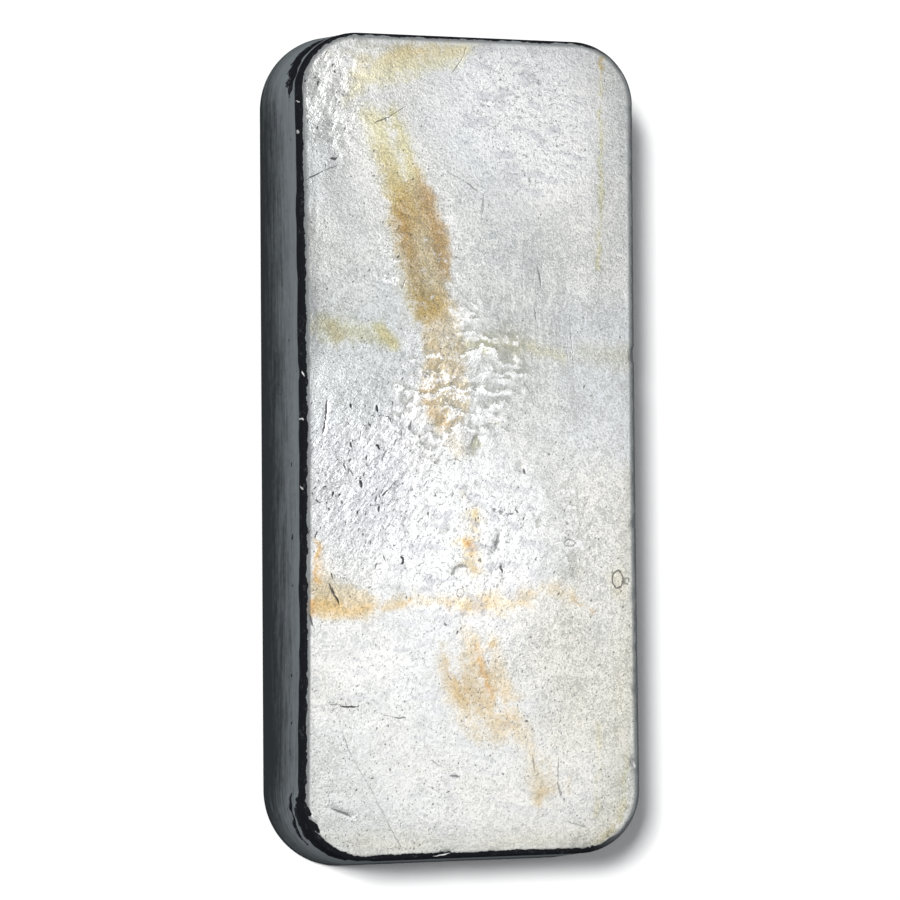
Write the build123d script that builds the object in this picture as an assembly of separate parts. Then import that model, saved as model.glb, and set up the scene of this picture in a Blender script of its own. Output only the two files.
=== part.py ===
from build123d import *
import os
from math import radians, tan

# A cast silver bar, lying on its open-mould side.
#
# The bar was poured into an open mould whose walls lean outwards, so it is widest near the poured side,
# which rests on the floor, and narrower at the mould-floor side, which faces up. The poured side froze
# first and kept its straight outline. Above that, the long walls shrank inwards as the metal cooled,
# more on one side than on the other. The poured side sank in a shallow dish inside a flat rim.
#
# Frame: +Z up, +Y along the bar, +X across it. The origin is the centre of the footprint, on the floor.
# Units are millimetres and degrees.

# Driving sizes
bar_length = 171.0
bar_width = 76.5
bar_thickness = 24.8
wall_draft = 8.4

# Corner radius at the poured side, seen from above. The corners are cones, so it is less further up
poured_corner_radius = 16.2

# Edges, seen in section: the poured side's is a meniscus, the mould side's is the mould's own fillet
poured_edge_radius = 1.8
mould_edge_radius = 1.3

# The walls are straight up to this height, and above it each long wall is hollow: this far at mid length
straight_height = 4.0
west_wall_hollow = 0.9
east_wall_hollow = 0.25

# The dish in the poured side
rim_width = 7.0
dish_depth = 0.8


def lean(height):
    """How far a wall moves inwards over this height."""
    return height * tan(radians(wall_draft))


def edge_overhang(edge_radius):
    """How far the sharp corner of a wall and the floor stands out past its own rounded edge."""
    corner_angle = 90 - wall_draft
    return edge_radius * (1 / tan(radians(corner_angle / 2)) - 1)


def side(start, end, hollow, inward):
    """One side of an outline: straight, or a flat arc that is hollow towards the inside."""
    if hollow == 0:
        return Line(start, end)
    middle = (Vector(*start) + Vector(*end)) / 2 + Vector(*inward) * hollow
    return ThreePointArc(start, middle, end)


def outline(height, west_hollow=0, east_hollow=0):
    """The bar's outline at a height, before its edges are rounded."""
    outset = edge_overhang(poured_edge_radius) - lean(height)
    half_width = bar_width / 2 + outset
    half_length = bar_length / 2 + outset
    south_west = (-half_width, -half_length)
    south_east = (half_width, -half_length)
    north_east = (half_width, half_length)
    north_west = (-half_width, half_length)
    with BuildSketch(Plane.XY.offset(height)) as sketch:
        with BuildLine():
            side(south_west, south_east, 0, (0, 1))
            side(south_east, north_east, east_hollow, (-1, 0))
            side(north_east, north_west, 0, (0, -1))
            side(north_west, south_west, west_hollow, (1, 0))
        make_face()
        fillet(sketch.vertices(), poured_corner_radius - lean(height))
    return sketch.sketch


def rounded(block, end, edge_radius):
    """The block with the edge of its lowest or highest face rounded."""
    return fillet(block.faces().sort_by(Axis.Z)[end].outer_wire().edges(), edge_radius)


def cast_body():
    """A straight course at the poured side, and the shrunken walls on it up to the mould side."""
    poured_outline = outline(0)
    waist_outline = outline(straight_height)
    mould_outline = outline(bar_thickness, west_wall_hollow, east_wall_hollow)
    poured_course = rounded(loft([poured_outline, waist_outline], ruled=True), 0, poured_edge_radius)
    mould_course = rounded(loft([waist_outline, mould_outline], ruled=True), -1, mould_edge_radius)
    return poured_course + mould_course


def sunk_dish():
    """The cap of an oval ball, as deep as the metal sank and as wide as the rim allows."""
    cap_share = 0.12
    cap_radius = (1 - (1 - cap_share) ** 2) ** 0.5
    half_width = bar_width / 2 - rim_width
    half_length = bar_length / 2 - rim_width
    ball_height = dish_depth / cap_share
    ball = scale(Sphere(1), by=(half_width / cap_radius, half_length / cap_radius, ball_height))
    return Pos(0, 0, dish_depth - ball_height) * ball


def silver_bar():
    return cast_body() - sunk_dish()


os.makedirs("parts", exist_ok=True)
export_step(silver_bar(), "parts/silver_bar.step")
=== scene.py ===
import math

import bpy
import numpy as np
from mathutils import Matrix, Vector


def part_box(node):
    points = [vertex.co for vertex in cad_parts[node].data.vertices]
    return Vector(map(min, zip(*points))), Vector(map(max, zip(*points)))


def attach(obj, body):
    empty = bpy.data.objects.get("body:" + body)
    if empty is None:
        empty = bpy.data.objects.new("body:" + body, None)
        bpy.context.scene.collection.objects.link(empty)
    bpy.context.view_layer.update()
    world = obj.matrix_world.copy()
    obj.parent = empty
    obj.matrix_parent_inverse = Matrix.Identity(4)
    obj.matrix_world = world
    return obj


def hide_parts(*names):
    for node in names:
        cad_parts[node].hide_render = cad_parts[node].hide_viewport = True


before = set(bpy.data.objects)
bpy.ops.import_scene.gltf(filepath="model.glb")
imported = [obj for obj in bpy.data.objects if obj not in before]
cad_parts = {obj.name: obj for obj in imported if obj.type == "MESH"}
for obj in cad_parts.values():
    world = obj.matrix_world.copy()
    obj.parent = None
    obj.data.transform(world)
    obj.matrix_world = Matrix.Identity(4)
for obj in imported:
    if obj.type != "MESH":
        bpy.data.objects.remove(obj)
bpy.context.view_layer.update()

mm = 0.001


# short ways to add nodes; a value is a number, a tuple or another node's socket
def isSocket(value):
    return isinstance(value, bpy.types.NodeSocket)


def treeOf(*values):
    # the node tree of the first socket among them
    return next(value.id_data for value in values if isSocket(value))


def feed(socket, value):
    if isSocket(value):
        treeOf(socket).links.new(value, socket)
    elif value is not None:
        socket.default_value = value


def addNode(tree, kind, inputs=None, **settings):
    node = tree.nodes.new(kind)
    for name, value in settings.items():
        setattr(node, name, value)
    for name, value in (inputs or {}).items():
        feed(node.inputs[name], value)
    return node


def addMath(operation, *values, clamp=False):
    node = addNode(treeOf(*values), "ShaderNodeMath", operation=operation, use_clamp=clamp)
    for socket, value in zip(node.inputs, values):
        feed(socket, value)
    return node.outputs[0]


def times(first, *others, clamp=False):
    for other in others:
        first = addMath("MULTIPLY", first, other, clamp=clamp)
    return first


def most(first, *others):
    for other in others:
        first = addMath("MAXIMUM", first, other)
    return first


def sumOf(*parts):
    # the sum of values, each times its weight
    total = 0.0
    for value, weight in parts:
        total = addMath("MULTIPLY_ADD", value, weight, total)
    return total


def addVector(operation, first, second=None, scale=None):
    node = addNode(treeOf(first), "ShaderNodeVectorMath", operation=operation)
    for index, value in ((0, first), (1, second), (3, scale)):
        feed(node.inputs[index], value)
    return node.outputs["Vector"]


def axesOf(place):
    return addNode(treeOf(place), "ShaderNodeSeparateXYZ", {"Vector": place}).outputs


def addStep(value, low, high, toLow=0.0, toHigh=1.0):
    node = addNode(treeOf(value), "ShaderNodeMapRange", interpolation_type="SMOOTHSTEP")
    for socket, number in zip(node.inputs, (value, low, high, toLow, toHigh)):
        feed(socket, number)
    return node.outputs[0]


def addMix(factor, first, second, blend="MIX"):
    settings = {"data_type": "RGBA", "blend_type": blend, "clamp_factor": True}
    node = addNode(treeOf(factor, first), "ShaderNodeMix", **settings)
    for index, value in ((0, factor), (6, first), (7, second)):
        feed(node.inputs[index], value)
    return node.outputs[2]


def addNoise(place, size, detail=2.0, roughness=0.5, warp=0.0):
    # size is the wavelength, in the units of place
    values = {"Vector": place, "Scale": 1 / size, "Detail": detail, "Roughness": roughness}
    return addNode(treeOf(place), "ShaderNodeTexNoise", {**values, "Distortion": warp}).outputs["Fac"]


def addStretch(place, scale, turn=0.0, shift=(0, 0, 0)):
    # a pattern made this many times finer along each axis, after a turn of so many degrees about Z
    turned = addNode(treeOf(place), "ShaderNodeVectorRotate", {"Vector": place, "Angle": math.radians(turn)})
    return addVector("ADD", addVector("MULTIPLY", turned.outputs[0], scale), shift)


def addShake(place, source, scale, detail, reach):
    # a place moved about at random by up to this reach
    values = {"Vector": source, "Scale": scale, "Detail": detail}
    noise = addNode(treeOf(source), "ShaderNodeTexNoise", values)
    return addVector("ADD", place, addVector("SCALE", noise.outputs["Color"], scale=reach))


def newGroup(name, kind, inputs, outputs):
    # inputs and outputs are lists of (name, socket type, default)
    tree = bpy.data.node_groups.new(name, kind)
    for direction, sockets in (("INPUT", inputs), ("OUTPUT", outputs)):
        for socketName, socketType, default in sockets:
            socket = tree.interface.new_socket(socketName, in_out=direction, socket_type=socketType)
            if default is not None:
                socket.default_value = default
    return tree, tree.nodes.new("NodeGroupInput").outputs, tree.nodes.new("NodeGroupOutput").inputs


def useMask(group, **inputs):
    return addNode(treeOf(inputs["Place"]), "ShaderNodeGroup", inputs, node_tree=group).outputs["Mask"]


# the bar's form, in mm and degrees, as the solid has it
bar = {
    "node": "silver_bar",
    "slot": "silver",
    "draft": 8.4,
    "pouredCorner": 16.2,
    "pouredEdge": 1.8,
    "mouldEdge": 1.3,
    "straightHeight": 4.0,
    "westHollow": 0.9,
    "eastHollow": 0.25,
    "rimWidth": 7.0,
    "dishDepth": 0.8,
}

# how finely it is divided, with sizes in mm
net = {
    "cornerCells": 24,
    "acrossCells": 88,
    "alongCells": 280,
    "coarser": 4,  # the underside's cells
    "mouldEdgeRows": 7,
    "upperWall": 7.5,
    "upperWallRows": 17,
    "lowerWallRows": 14,
    "pouredEdgeRows": 7,
    "undersideMargin": 1.2,
    "streakStretch": 10.0,  # the wall's streaks: length to depth
}

lowest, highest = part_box(bar["node"])
barSize = (highest - lowest) / mm
thickness = barSize.z
draft = math.radians(bar["draft"])
wallAngle = math.pi / 2 - draft  # from straight up to square out of a wall
mouldInset = bar["mouldEdge"] / math.tan((math.pi - wallAngle) / 2)
pouredInset = bar["pouredEdge"] / math.tan(wallAngle / 2)


def lean(height):
    return height * math.tan(draft)


def outlineAt(height, outset):
    # half width, half length and corner radius at a height, moved out from the wall by outset
    move = outset - lean(height)
    overhang = pouredInset - bar["pouredEdge"]
    return barSize.x / 2 + overhang + move, barSize.y / 2 + overhang + move, bar["pouredCorner"] + move


def layPoints(between, roundOff, height, outset):
    # between is each point's share of the way between the corner centres, roundOff its way out of them
    halfWidth, halfLength, radius = outlineAt(height, outset)
    x = between[..., 0] * (halfWidth - radius) + roundOff[..., 0] * radius
    y = between[..., 1] * (halfLength - radius) + roundOff[..., 1] * radius
    above = max(0.0, (height - bar["straightHeight"]) / (thickness - bar["straightHeight"]))
    bow = above * np.clip(1 - (y / halfLength) ** 2, 0, 1)
    west = bar["westHollow"] * (1 - x / halfWidth) / 2
    east = bar["eastHollow"] * (1 + x / halfWidth) / 2
    return np.stack([x + (west - east) * bow, y, np.full_like(x, height)], -1)


def gridShares():
    # the corner squares of a level grid, bent into quarter discs
    def line(middleCells):
        corner = np.arange(net["cornerCells"] + 1) / net["cornerCells"]
        middle = np.arange(1, middleCells) / middleCells * 2 - 1
        between = np.concatenate([-np.ones_like(corner), middle, np.ones_like(corner)])
        return between, np.concatenate([corner - 1, np.zeros_like(middle), corner])

    betweenX, outX = line(net["acrossCells"])
    betweenY, outY = line(net["alongCells"])
    outX, outY = np.meshgrid(outX, outY, indexing="ij")
    between = np.stack(np.meshgrid(betweenX, betweenY, indexing="ij"), -1)
    roundOff = np.stack([outX * np.sqrt(1 - outY**2 / 2), outY * np.sqrt(1 - outX**2 / 2)], -1)
    return between, roundOff


def borderOf(grid):
    # a grid's border once round, from the south-west corner: south, east, north, west
    return np.concatenate([grid[:-1, 0], grid[-1, :-1], grid[:0:-1, -1], grid[0, :0:-1]])


def sectionRows():
    # height and outset of each row below the face's border: mould edge, wall, poured edge
    rows = []
    radius = bar["mouldEdge"]
    for angle in np.linspace(0, wallAngle, net["mouldEdgeRows"] + 1)[1:]:
        height = thickness - radius * (1 - math.cos(angle))
        rows.append((height, radius * math.sin(angle) - mouldInset - lean(thickness - height)))
    wallTop = rows[-1][0]
    shoulder = wallTop - net["upperWall"]
    wallFoot = bar["pouredEdge"] * (1 + math.cos(wallAngle))
    rows += [(height, 0.0) for height in np.linspace(wallTop, shoulder, net["upperWallRows"] + 1)[1:]]
    rows += [(height, 0.0) for height in np.linspace(shoulder, wallFoot, net["lowerWallRows"] + 1)[1:]]
    radius = bar["pouredEdge"]
    for angle in np.linspace(wallAngle, math.pi, net["pouredEdgeRows"] + 1)[1:]:
        height = radius * (1 + math.cos(angle))
        rows.append((height, radius * math.sin(angle) - pouredInset + lean(height)))
    return rows


def insideOutline(points, height, outset):
    # distance of level points from the outline, negative inside it
    halfWidth, halfLength, radius = outlineAt(height, outset)
    past = np.abs(points[..., :2]) - (halfWidth - radius, halfLength - radius)
    return np.linalg.norm(np.maximum(past, 0), axis=-1) + np.minimum(past.max(-1), 0) - radius


def buildNet():
    between, roundOff = gridShares()
    borderBetween, borderRound = borderOf(between), borderOf(roundOff)
    rows = sectionRows()
    top = layPoints(between, roundOff, thickness, -mouldInset)
    rings = [layPoints(borderBetween, borderRound, height, outset) for height, outset in rows]
    step = net["coarser"]
    margin = -pouredInset - net["undersideMargin"]
    base = layPoints(between[::step, ::step], roundOff[::step, ::step], 0.0, margin)
    dishX = base[..., 0] / (barSize.x / 2 - bar["rimWidth"])
    dishY = base[..., 1] / (barSize.y / 2 - bar["rimWidth"])
    base[..., 2] = bar["dishDepth"] * np.clip(1 - dishX**2 - dishY**2, 0, 1)

    topIndex = np.arange(top[..., 0].size).reshape(top.shape[:2])
    around = len(borderBetween)
    ringIndex = [borderOf(topIndex)]
    for ring in range(len(rings)):
        ringIndex.append(topIndex.size + ring * around + np.arange(around))
    baseIndex = ringIndex[-1][-1] + 1 + np.arange(base[..., 0].size).reshape(base.shape[:2])

    def cells(index):
        return np.stack([index[:-1, :-1], index[1:, :-1], index[1:, 1:], index[:-1, 1:]], -1).reshape(-1, 4)

    faces = cells(topIndex).tolist()
    for upper, lower in zip(ringIndex, ringIndex[1:]):
        faces += np.stack([upper, lower, np.roll(lower, -1), np.roll(upper, -1)], -1).tolist()
    fine, coarse = ringIndex[-1], borderOf(baseIndex)
    for k, first in enumerate(coarse):
        second = coarse[(k + 1) % len(coarse)]
        f = [fine[(k * step + n) % around] for n in range(step + 1)]
        half = step // 2
        faces += [(f[n], first, f[n + 1]) for n in range(half)] + [(f[half], first, second)]
        faces += [(f[n], second, f[n + 1]) for n in range(half, step)]
    faces += cells(baseIndex)[:, ::-1].tolist()

    # how far each point is from the face's border, along the skin: negative on the face
    section = [(thickness, -mouldInset)] + rows
    places = np.array([(outset - lean(height), height) for height, outset in section])
    skirt = np.concatenate([[0], np.cumsum(np.linalg.norm(np.diff(places, axis=0), axis=1))])
    fromFace = np.concatenate([
        insideOutline(top, thickness, -mouldInset).ravel(),
        np.repeat(skirt[1:], around),
        np.full(base[..., 0].size, skirt[-1] + 1),
    ])
    fromFace[ringIndex[0]] = 0.0

    # where the wall's long streaks are read: once round a circle, and down the wall
    turn = np.arange(around) / around * 2 * math.pi
    circle = 2 * (barSize.x + barSize.y) / (2 * math.pi * net["streakStretch"])
    streaks = np.zeros((len(fromFace), 3))
    for index, depth in zip(ringIndex, skirt):
        streaks[index] = np.stack([circle * np.cos(turn), circle * np.sin(turn), np.full(around, depth)], -1)

    points = np.concatenate([top.reshape(-1, 3)] + rings + [base.reshape(-1, 3)])
    mesh = bpy.data.meshes.new("castBar")
    mesh.from_pydata((points * mm).tolist(), [], faces)
    mesh.shade_smooth()
    storeValues(mesh, "fromFace", fromFace)
    storeValues(mesh, "streaks", streaks, "FLOAT_VECTOR", "vector")
    return mesh, points, fromFace


def storeValues(mesh, name, values, kind="FLOAT", field="value"):
    attribute = mesh.attributes.new(name, kind, "POINT")
    attribute.data.foreach_set(field, np.asarray(values, np.float32).ravel())


barMesh, barPoints, fromFace = buildNet()
print("net laid,", len(barPoints), "points")


# zones of the face by what the cast skin is like there, and where a painted sheen lies: centre, half sizes in
# mm, turn in degrees, strength
faceZones = {
    "hammered": [
        (-20, -6, 16, 22, 10, 1.0),
        (-5, 8, 12, 16, 0, 0.8),
        (3, -20, 17, 16, 0, 0.5),
        (-8, 36, 8, 14, 10, 0.3),
        (-29, 68, 7, 13, 0, 0.8),
        (-32, 18, 3, 40, 0, 0.3),
        (6, -36, 16, 8, 0, 0.4),
        (20, -18, 9, 14, 10, 0.35),
        (-33, 34, 3, 20, 0, 0.4),
    ],
    "crested": [
        (2, 13, 12, 17, 0, 1.0),
        (-8, 8, 10, 14, 0, 0.95),
        (9, -3, 9, 9, 0, 0.6),
        (-1, -22, 14, 14, 0, 0.5),
        (-30, 14, 4, 6, 0, 0.4),
        (-27, 70, 6, 10, 0, 0.6),
        (19, -16, 9, 16, 10, 0.6),
        (-6, 34, 16, 16, 0, 0.55),
        (4, -40, 14, 8, 0, 0.5),
    ],
    "paintedSheenZones": [
        (-2, -20, 17, 19, 0, 1.0),
        (-14, -4, 12, 10, 30, 0.5),
        (11, 66, 14, 18, 20, 1.0),
        (-24, 76, 6, 4, 0, 0.4),
        (2, -66, 24, 16, 0, 0.5),
        (-16, -48, 14, 12, 0, 0.5),
    ],
    "pitted": [
        (-20, -8, 16, 20, 10, 1.0),
        (-24, 12, 8, 12, 0, 0.35),
        (-2, -22, 14, 14, 0, 0.25),
        (-30, 68, 6, 12, 0, 0.9),
    ],
    "specked": [
        (-22, -66, 22, 24, 0, 1.4),
        (-4, -56, 14, 18, 0, 1.0),
        (-24, 34, 8, 22, 0, 0.7),
        (-20, 0, 18, 40, 0, 0.8),
        (-12, 42, 12, 30, 0, 0.7),
        (-26, 70, 10, 14, 0, 1.3),
        (10, -50, 16, 14, 0, 1.0),
        (27, -72, 7, 8, 0, 1.0),
        (22, -20, 8, 16, 0, 0.5),
    ],
    "combed": [
        (-33.0, 30, 1.8, 26, 0, 1.0),
        (13, 26, 8, 14, 0, 0.5),
    ],
}

# what a stain or wash leaves of the silver's own colour; the shade tint is painted shade
stainTints = {
    "tan": (0.82, 0.67, 0.40),
    "brown": (0.76, 0.57, 0.34),
    "ochre": (0.93, 0.67, 0.24),
    "orange": (1.0, 0.62, 0.16),
    "peach": (0.97, 0.82, 0.57),
    "yellow": (0.95, 0.89, 0.55),
    "olive": (0.46, 0.45, 0.30),
    "cool": (0.80, 0.85, 0.90),
    "lilac": (0.80, 0.79, 0.84),
    "grey": (0.66, 0.68, 0.66),
    "shade": (0.44, 0.45, 0.43),
    "warm": (0.92, 0.88, 0.74),
}
# washes and stains: points along each with the half width there, strength and softness, all in mm
washes = [
    ("cool", [(-1, 60, 5), (4, 50, 7), (8, 38, 8)], 0.4, 8.0),
    ("lilac", [(-27, -2, 5), (-23, -12, 7), (-14, 2, 4)], 0.8, 8.0),
    ("grey", [(-33, -26, 0.5), (-31, -29, 2.5), (-26, -29, 2.0)], 0.5, 2.0),
    ("warm", [(24, -10, 5), (22, -30, 8), (24, -50, 7)], 0.25, 9.0),
    ("grey", [(17.4, -22.6, 0.8), (19.6, -26.4, 1.4)], 0.5, 1.6),
    ("grey", [(14, -4.0, 1.0), (17, -10, 0.8), (16, -15, 1.2)], 0.4, 2.4),
    ("warm", [(30.4, -26.6, 1.6), (30.8, -30, 1.4)], 0.7, 1.6),
    ("grey", [(6, 50, 7), (14, 30, 11), (22, 10, 9)], 0.26, 8.0),
    ("grey", [(-8, 14, 8), (6, 6, 8)], 0.25, 8.0),
    ("grey", [(30, 76, 3), (30, 50, 3), (31, 20, 3)], 0.25, 3.0),
    ("grey", [(27.4, 60, 1.2), (27.0, 24, 1.4)], 0.25, 1.6),
    ("shade", [(-33.6, 54, 0.4), (-32.8, 38, 1.6), (-31.8, 22, 2.0), (-32.6, 16, 0.8)], 0.8, 2.4),
    ("grey", [(-30, 60, 2), (-27, 40, 5), (-24, 24, 8), (-22, 12, 5)], 0.68, 6.0),
    ("shade", [(-29, 28, 1.4), (-28, 20, 2.0)], 0.35, 3.0),
    ("grey", [(-31, 74, 3), (-31, 62, 2)], 0.5, 5.0),
    ("grey", [(-10, 31, 6), (2, 24, 8), (9, 14, 7)], 0.35, 6.0),
    ("grey", [(-31, -46, 1.5), (-28, -51, 2), (-20, -52, 1)], 0.4, 4.0),
    ("warm", [(-20, -60, 12), (8, -64, 12)], 0.2, 12.0),
    ("grey", [(-34, -60, 2), (-30, -74, 5), (-10, -79, 3), (20, -79, 3), (31, -68, 3)], 0.35, 6.0),
    ("warm", [(33.4, -6, 1.2), (33, -24, 2.0), (32.6, -42, 2.6), (32, -60, 2.8), (29, -74, 3.0)], 0.65, 4.0),
    ("warm", [(-30, -78, 1.5), (0, -80.6, 1.5), (26, -79, 2)], 0.7, 4.0),
    ("warm", [(22, -58, 8), (18, -40, 6)], 0.35, 9.0),
    ("grey", [(-11.4, 47, 4.0), (-9.2, 40, 4.6), (-8.0, 32, 4.2)], 0.4, 2.0),
    ("grey", [(-2.6, -10.6, 0.8), (0.6, -7.6, 0.7), (3.4, -9.0, 0.5)], 0.55, 1.2),
    ("grey", [(-7.6, -9.6, 0.6), (-5.2, -8.4, 0.6)], 0.45, 1.0),
    ("grey", [(5.2, -17.0, 0.5), (4.6, -20.6, 0.9), (3.6, -21.8, 0.5)], 0.7, 0.8),
    ("grey", [(-17, -28, 1.0), (-15, -30.4, 1.2), (-12.6, -29.6, 0.6)], 0.5, 1.4),
    ("warm", [(24, 19, 1.5), (32.6, 18, 2.4)], 0.7, 2.6),
    ("grey", [(-7, -46, 3.0), (0, -49, 3.0)], 0.25, 4.0),
    ("grey", [(13, -66, 2.0), (15, -70, 2.0)], 0.4, 3.0),
]
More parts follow.
